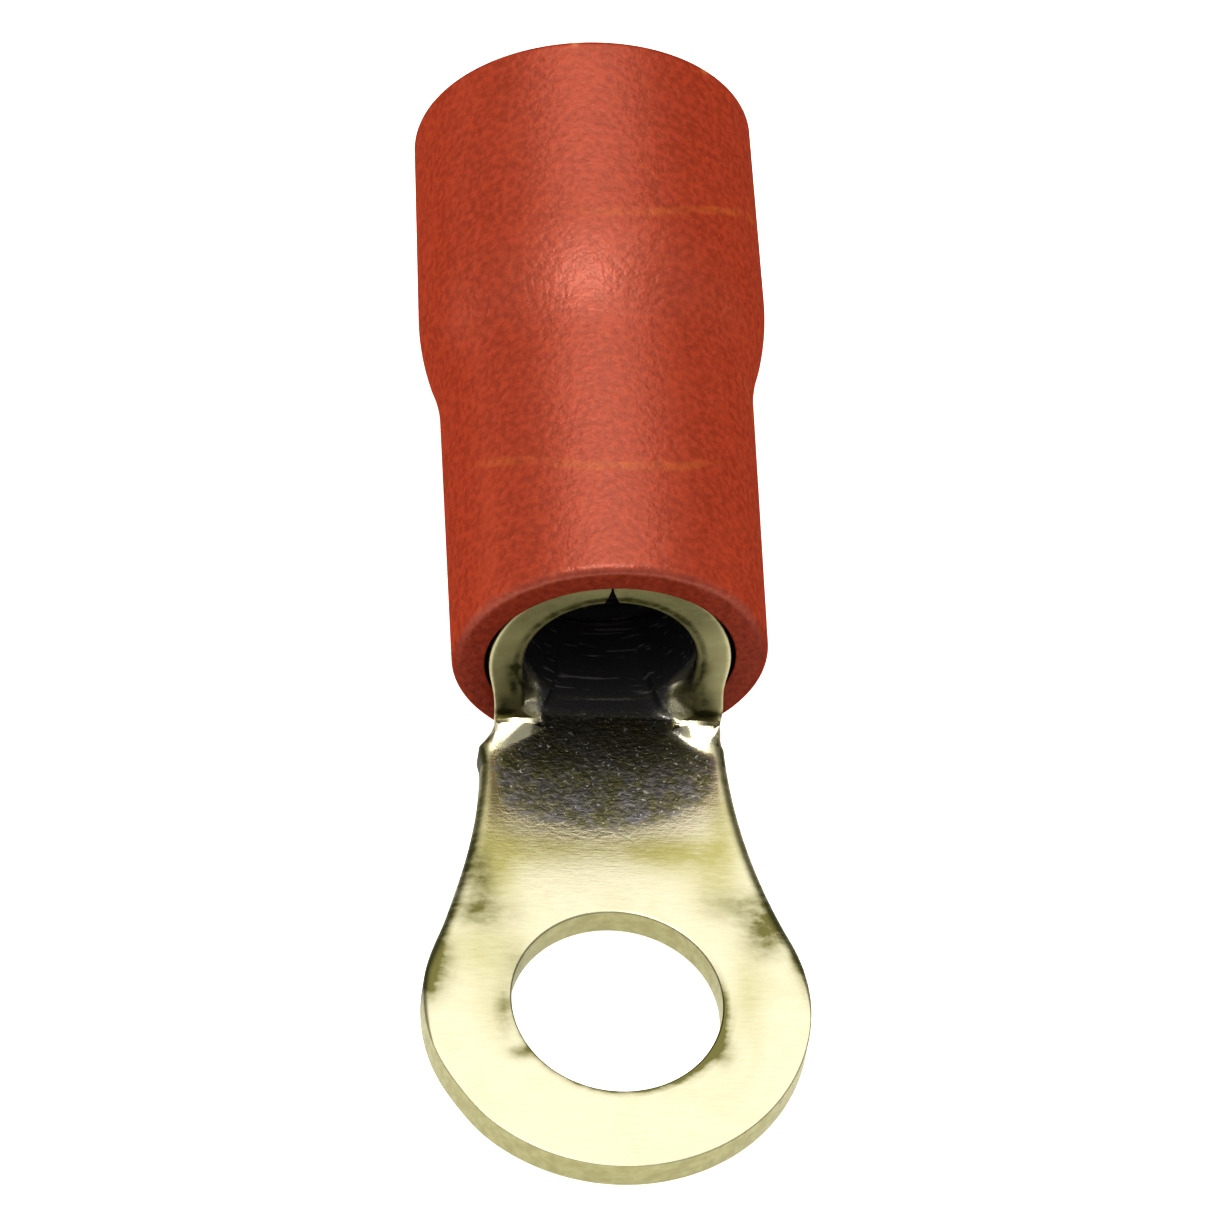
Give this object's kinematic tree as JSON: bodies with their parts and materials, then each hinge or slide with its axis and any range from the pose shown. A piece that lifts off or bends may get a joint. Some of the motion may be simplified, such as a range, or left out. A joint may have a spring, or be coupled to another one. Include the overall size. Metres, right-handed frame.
{
  "type": "insulated ring terminal",
  "caption": "Ring terminal for a wire: a flat ring for a screw, a short tongue and a barrel for the wire under a stepped red insulating sleeve.",
  "frame": {"origin": "centre of the stud hole on the tongue's seating face", "axes": "+Z along the screw, out of the ring's upper face; +Y back along the barrel to the wire entry"},
  "size_m": [0.0058, 0.018, 0.0053],
  "materials": {
    "tinned_copper": "satin, tin plated, with fine rolling lines",
    "red_pvc": "satin PVC with a fine grain"
  },
  "bodies": {
    "root": {"terminal_body": "tinned_copper", "insulation_sleeve": "red_pvc"}
  },
  "joints": []
}
